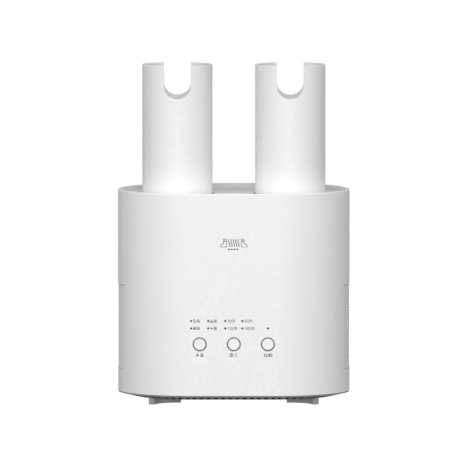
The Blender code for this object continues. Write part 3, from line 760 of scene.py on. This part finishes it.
def lamp_lens(name):
    """Light pipe with a low domed face."""
    low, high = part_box(name)
    radius = lens_radius(name)
    centre = node_centre(name)
    profile = [
        (0, high.y - low.y),
        (radius, high.y - low.y),
        (radius, 0.15 * MM),
        (radius * 0.8, 0.04 * MM),
        (radius * 0.4, 0.0),
        (0, 0),
    ]
    place = facing_front(centre.x, low.y, centre.z)
    piece = turned(f"{name}_lens", profile, LAMP, place, LENS_STEPS, closed=False)
    soften(piece)
    return stand_for(piece, "lamp_window", "base", name)


# ---------------------------------------------------------------- printed marks

PRINT_PROUD = 0.012 * MM
STROKE_PROUD = 0.04 * MM
SAME_POINT = 0.0005 * MM
MODE_PEN = 0.58 * MM
BUTTON_PEN = 0.74 * MM
CLOCK_PEN = 0.48 * MM
EMBLEM_PEN = 0.85 * MM
RULE_PEN = 1.45 * MM


def drawn(name, data):
    """Mesh of a curve or text, which is then removed."""
    pen = bpy.data.objects.new(name, data)
    bpy.context.scene.collection.objects.link(pen)
    bpy.context.view_layer.update()
    mesh = bpy.data.meshes.new_from_object(pen.evaluated_get(bpy.context.evaluated_depsgraph_get()))
    bpy.data.objects.remove(pen)
    bpy.data.curves.remove(data)
    return mesh


def printed(name, mesh, matrix):
    """Piece of ink made from the mesh, set in its place on the casing."""
    mesh.transform(matrix)
    form = bmesh.new()
    form.from_mesh(mesh)
    bpy.data.meshes.remove(mesh)
    bmesh.ops.remove_doubles(form, verts=form.verts, dist=SAME_POINT)
    return stand_for(to_piece(form, name, INK), "grey_ring", "base")


def strokes(name, lines, width):
    """Printed lines on the front, each a list of (x, z) points; the pen is width wide."""
    data = bpy.data.curves.new(name, "CURVE")
    data.dimensions = "3D"
    data.bevel_depth = width / 2
    data.bevel_resolution = 1
    data.use_fill_caps = True
    for line in lines:
        loop = len(line) > 2 and math.dist(line[0], line[-1]) < 0.01 * MM
        points = line[:-1] if loop else line
        spline = data.splines.new("POLY")
        spline.points.add(len(points) - 1)
        for point, (x, z) in zip(spline.points, points):
            point.co = (x, 0, z, 1)
        spline.use_cyclic_u = loop
    mesh = drawn(name, data)
    flat = STROKE_PROUD / width
    return printed(name, mesh, Matrix.Translation((0, FRONT, 0)) @ Matrix.Diagonal((1, flat, 1, 1)))


def moved(lines, x, z, scale):
    return [[(x + scale * across, z + scale * up) for across, up in line] for line in lines]


def wave_line(x, height, sway, steps=12):
    """One S-shaped line of rising air, drawn upwards."""
    points = []
    for step in range(steps + 1):
        t = step / steps
        points.append((x + sway * math.sin(math.tau * t), (t - 0.5) * height))
    return points


def glyph_waves():
    return [wave_line(x, 3.0, 0.28) for x in (-0.95, 0, 0.95)]


def glyph_boot():
    """A plain tall boot in outline, about 3 units high."""
    return [
        [(-0.9, 1.5), (0.15, 1.5), (0.15, -0.2), (1.2, -0.65), (1.45, -1.45), (-0.9, -1.45), (-0.9, 1.5)],
        [(-0.9, 0.75), (0.15, 0.75)],
    ]


def glyph_shoe():
    """A plain low shoe in outline."""
    return [
        [(-1.4, 0.7), (-0.4, 0.7), (0.1, 0.1), (1.2, -0.3), (1.45, -1.3), (-1.4, -1.3), (-1.4, 0.7)],
        [(-1.4, -0.8), (1.3, -0.8)],
    ]


def glyph_three_rings():
    return [arc(place, 0.62, 0, 360, 14) for place in ((-0.75, -0.6), (0.75, -0.6), (0, 0.75))]


def glyph_fan():
    lines = [arc((0, 0), 0.3, 0, 360, 10)]
    for number in range(3):
        turn = math.radians(120 * number + 90)
        tip = (1.4 * math.cos(turn), 1.4 * math.sin(turn))
        side = (1.0 * math.cos(turn + 0.8), 1.0 * math.sin(turn + 0.8))
        root = (0.3 * math.cos(turn), 0.3 * math.sin(turn))
        lines.append([root, tip, side, root])
    return lines


def glyph_clock():
    return [arc((0, 0), 1.35, 0, 360, 20), [(0, 0.85), (0, 0), (0.6, -0.35)]]


def glyph_power():
    return [arc((0, -0.1), 1.3, 125, 415, 20), [(0, 0.4), (0, 1.5)]]


def glyph_bars():
    """Three bars, with a slider's mark on each of the upper two."""
    bars = [[(-1.3, z), (1.3, z)] for z in (-1.1, 0, 1.1)]
    return bars + [[(-0.6, 0.7), (-0.6, 1.5)], [(0.6, -0.4), (0.6, 0.4)]]


def glyph_hourglass():
    return [[(-0.9, 1.4), (0.9, 1.4), (-0.9, -1.4), (0.9, -1.4), (-0.9, 1.4)]]


def glyph_switch():
    return [[(-1.1, -1.3), (-1.1, 1.3)], arc((0.5, 0), 1.1, 0, 360, 18)]


def mode_labels():
    """Pairs of small pictograms to the right of the four mode lamps."""
    pictures = (glyph_boot, glyph_shoe, glyph_three_rings, glyph_fan)
    lines = []
    for number, picture in enumerate(pictures):
        place = node_centre(f"mode_lamp_{number + 1}")
        lines += moved(picture(), place.x + 3.3 * MM, place.z, MM)
        lines += moved(glyph_waves(), place.x + 6.7 * MM, place.z, MM)
    strokes("mode_labels", lines, MODE_PEN)


def button_labels():
    """Pairs of pictograms under the three buttons."""
    pairs = ((glyph_fan, glyph_bars), (glyph_clock, glyph_hourglass), (glyph_power, glyph_switch))
    lines = []
    z = BUTTON_Z - 10.3 * MM
    shift = 2.1 * MM
    scale = 1.1 * MM
    for (first, second), x in zip(pairs, (-CONTROL_PITCH, 0, CONTROL_PITCH)):
        lines += moved(first(), x - shift, z, scale)
        lines += moved(second(), x + shift, z, scale)
    strokes("button_labels", lines, BUTTON_PEN)


def timer_labels():
    """Minutes beside the four timer lamps, each with a small clock."""
    clocks = []
    gap = 1.9 * MM
    drop = 1.4 * MM
    upright = Matrix.Rotation(math.radians(90), 4, "X")
    for number, minutes in enumerate(("30", "60", "120", "180")):
        place = node_centre(f"timer_lamp_{number + 1}")
        data = bpy.data.curves.new(f"minutes_{minutes}", "FONT")
        data.body = minutes
        data.size = 4.0 * MM
        data.extrude = PRINT_PROUD
        mesh = drawn(f"minutes_{minutes}", data)
        width = max(v.co.x for v in mesh.vertices)
        start = place.x + gap
        printed(f"minutes_{minutes}", mesh, Matrix.Translation((start, FRONT, place.z - drop)) @ upright)
        clocks += moved(glyph_clock(), start + width + gap, place.z, 0.95 * MM)
    strokes("timer_clocks", clocks, CLOCK_PEN)


EMBLEM_Z = 155.6 * MM
BOOT_X = 9.2 * MM
BOOT_SCALE = 2.5 * MM
RULE_Z = EMBLEM_Z - 6 * MM
DASH = 1.7 * MM
DASH_PITCH = 2.7 * MM


def emblem():
    """Generic pictogram: a pair of boots with warm air between them, and a short rule below."""
    boot = glyph_boot()
    mirrored = [[(-across, up) for across, up in line] for line in boot]
    lines = moved(mirrored, -BOOT_X, EMBLEM_Z, BOOT_SCALE)
    lines += moved(boot, BOOT_X, EMBLEM_Z, BOOT_SCALE)
    for number in range(-2, 3):
        lines += moved([wave_line(0, 7.0, 0.55)], number * 2.2 * MM, EMBLEM_Z, MM)
    strokes("emblem", lines, EMBLEM_PEN)
    starts = [number * DASH_PITCH - 5.6 * MM for number in range(4)]
    strokes("emblem_rule", [[(x, RULE_Z), (x + DASH, RULE_Z)] for x in starts], RULE_PEN)


# ---------------------------------------------------------------- base and feet


# The pan's sloped skirt, as radii and heights: where its lower face starts, how it rises outwards,
# and the stretch that its slots take up.
SKIRT_START = 54 * MM
SKIRT_Z = 5.4 * MM
SKIRT_RISE = 0.242
SLOT_START = 55 * MM
SLOT_END = 65.6 * MM
SLOT_SKIN = 0.4 * MM
SLOT_HEIGHT = 2.6 * MM
FOOT_CORNER = 1.6 * MM


def rounded(name, suffix, slot, body, width, segments=2, angle=50, upright=0.0):
    """The frame's own shape with every edge rounded, and its upright corners rounded by upright."""
    source = frame["nodes"][name]
    form = bmesh.new()
    form.from_mesh(source.data)
    bmesh.ops.transform(form, matrix=source.matrix_world, verts=form.verts)
    bmesh.ops.remove_doubles(form, verts=form.verts, dist=MERGE)
    bmesh.ops.dissolve_limit(form, angle_limit=math.radians(2), verts=form.verts, edges=form.edges)
    if upright:
        corners = []
        for edge in form.edges:
            along = (edge.verts[1].co - edge.verts[0].co).normalized()
            if abs(along.z) > 0.9 and edge.calc_face_angle(0) > math.radians(60):
                corners.append(edge)
        bmesh.ops.bevel(
            form,
            geom=corners,
            offset=upright,
            offset_type="OFFSET",
            segments=6,
            profile=0.5,
            affect="EDGES",
        )
    piece = to_piece(form, f"{name}_{suffix}", SLOT_FINISH[slot])
    round_edges(piece, width, segments, angle=angle)
    return stand_for(piece, slot, body, name)


def in_slot(point):
    """True for a point on a wall of one of the pan's slots, between its lower and upper faces."""
    radius = plan_radius(point)
    under = SKIRT_Z + (radius - SKIRT_START) * SKIRT_RISE
    return SLOT_START < radius < SLOT_END and SLOT_SKIN < point.z - under < SLOT_HEIGHT


def pan():
    """Base pan with softened edges; the walls of its slots are dark."""
    piece = rounded("base_pan", "tray", "grey_base", "base", 0.15 * MM, 1)
    piece.data.materials.append(VENT)
    for face in piece.data.polygons:
        if in_slot(face.center):
            face.material_index = 1
    return piece


def slot_shadow_sheet():
    """Dark sheet that lies on the pan's sloped skirt, just inside its slots, as painted shadow behind them.
    """
    thick = 0.4 * MM
    low, high = (54.5 * MM, 8.2 * MM), (64.8 * MM, 11.5 * MM)
    profile = [low, high, (high[0], high[1] + thick), (low[0], low[1] + thick)]
    form = bmesh.new()
    loft(form, [oval(radius, z) for radius, z in profile], closed=True)
    piece = to_piece(form, "slot_shadow_sheet", SCREEN)
    round_edges(piece, 0.08 * MM, 1)
    return stand_for(piece, "black_plastic", "base")


# ---------------------------------------------------------------- inside

# For each body: a slot, the edge's rounding in millimetres, and the nodes.
SOFT_EDGES = {
    "base": (
        ("duct_plastic", 0.3, ("left_dust_filter", "right_dust_filter", "heater_frame")),
        ("duct_plastic", 0.3, ("air_plenum", "left_sleeve", "right_sleeve")),
        ("black_plastic", 0.3, ("fan_housing", "ozone_module")),
        ("black_plastic", 0.1, ("mode_switch", "timer_switch", "power_switch")),
        ("circuit_board", 0.1, ("control_board", "power_board")),
        ("heater_metal", 0.1, ("ptc_heater",)),
        ("steel", 0.15, ("fan_motor", "thermal_fuse")),
        ("steel", 0.1, ("base_screw_1", "base_screw_2", "base_screw_3", "base_screw_4")),
        ("seal_rubber", 0.3, ("cord_inlet",)),
    ),
    "left_outlet": (("duct_plastic", 0.2, ("left_tube_stop", "left_outlet_grid")),),
    "right_outlet": (("duct_plastic", 0.2, ("right_tube_stop", "right_outlet_grid")),),
    "fan": (("black_plastic", 0.12, ("fan_impeller",)), ("steel", 0.1, ("fan_shaft",))),
}


def inner_workings():
    """The parts inside, in their frame shapes with softened edges."""
    for body, groups in SOFT_EDGES.items():
        for slot, width, names in groups:
            for name in names:
                rounded(name, "soft", slot, body, width * MM, angle=40)


# ---------------------------------------------------------------- studio


def area_light(name, place, aim, size, power):
    data = bpy.data.lights.new(name, "AREA")
    data.shape = "RECTANGLE"
    data.size, data.size_y = size
    data.energy = power
    lamp = bpy.data.objects.new(name, data)
    lamp.location = place
    lamp.rotation_mode = "QUATERNION"
    lamp.rotation_quaternion = (Vector(aim) - Vector(place)).to_track_quat("-Z", "Y")
    bpy.context.scene.collection.objects.link(lamp)


def seen_and_felt(tree, seen, felt, shader):
    """Shader node that is as bright as seen to the camera and as felt to everything else."""
    bright, dim = tree.nodes.new(shader), tree.nodes.new(shader)
    bright.inputs["Strength"].default_value = seen
    dim.inputs["Strength"].default_value = felt
    choose = tree.nodes.new("ShaderNodeMixShader")
    tree.links.new(tree.nodes.new("ShaderNodeLightPath").outputs["Is Camera Ray"], choose.inputs[0])
    tree.links.new(dim.outputs[0], choose.inputs[1])
    tree.links.new(bright.outputs[0], choose.inputs[2])
    return choose.outputs[0]


SEEN_WHITE = 1.0
SKY_LIGHT = 0.32
FLOOR_LIGHT = 0.365


def studio():
    """White surroundings: two wide front lights, one low and one high, and two weak ones behind."""
    middle = (0, 0, 0.16)
    area_light("front_softbox", (-0.25, -2.6, 0.5), middle, (2.4, 1.2), 31)
    area_light("high_softbox", (0, -1.6, 2.2), middle, (3.4, 1.0), 43)
    for side in (-1, 1):
        area_light(f"rear_{side}", (side * 1.6, 2.2, 0.8), middle, (1.0, 1.2), 4.5)
    world = bpy.data.worlds.new("studio")
    bpy.context.scene.world = world
    world.use_nodes = True
    tree = world.node_tree
    tree.nodes.remove(tree.nodes["Background"])
    sky = seen_and_felt(tree, SEEN_WHITE, SKY_LIGHT, "ShaderNodeBackground")
    tree.links.new(sky, tree.nodes["World Output"].inputs["Surface"])
    for node in tree.nodes:
        if node.type == "BACKGROUND":
            node.inputs["Color"].default_value = (1, 1, 1, 1)
    bpy.context.scene.view_settings.view_transform = "Standard"
    bpy.context.scene.view_settings.look = "None"


def floor():
    """Large floor that reads as plain white."""
    form = bmesh.new()
    bmesh.ops.create_grid(form, x_segments=1, y_segments=1, size=30)
    material = bpy.data.materials.new("pale_floor")
    material.use_nodes = True
    tree = material.node_tree
    tree.nodes.remove(tree.nodes["Principled BSDF"])
    glow = seen_and_felt(tree, SEEN_WHITE, FLOOR_LIGHT, "ShaderNodeEmission")
    tree.links.new(glow, tree.nodes["Material Output"].inputs["Surface"])
    to_piece(form, "studio_floor", material)


# ---------------------------------------------------------------- the whole dryer

casing()
deck()
for side_name, side in SIDES:
    outlet_tube(side_name, side)
    tube_seal(side_name, side)
    side_grille(side_name, side)
    filter_screen(side_name)
for key in ("mode", "timer", "power"):
    key_cap(key)
    key_ring(key)
for lamp_name in LAMP_NAMES:
    lamp_lens(lamp_name)
mode_labels()
timer_labels()
button_labels()
emblem()
for foot_name in ("foot_front_left", "foot_front_right", "foot_rear_left", "foot_rear_right"):
    rounded(foot_name, "rib", "foot_rubber", "base", 0.2 * MM, upright=FOOT_CORNER)
pan()
slot_shadow_sheet()
inner_workings()
studio()
floor()
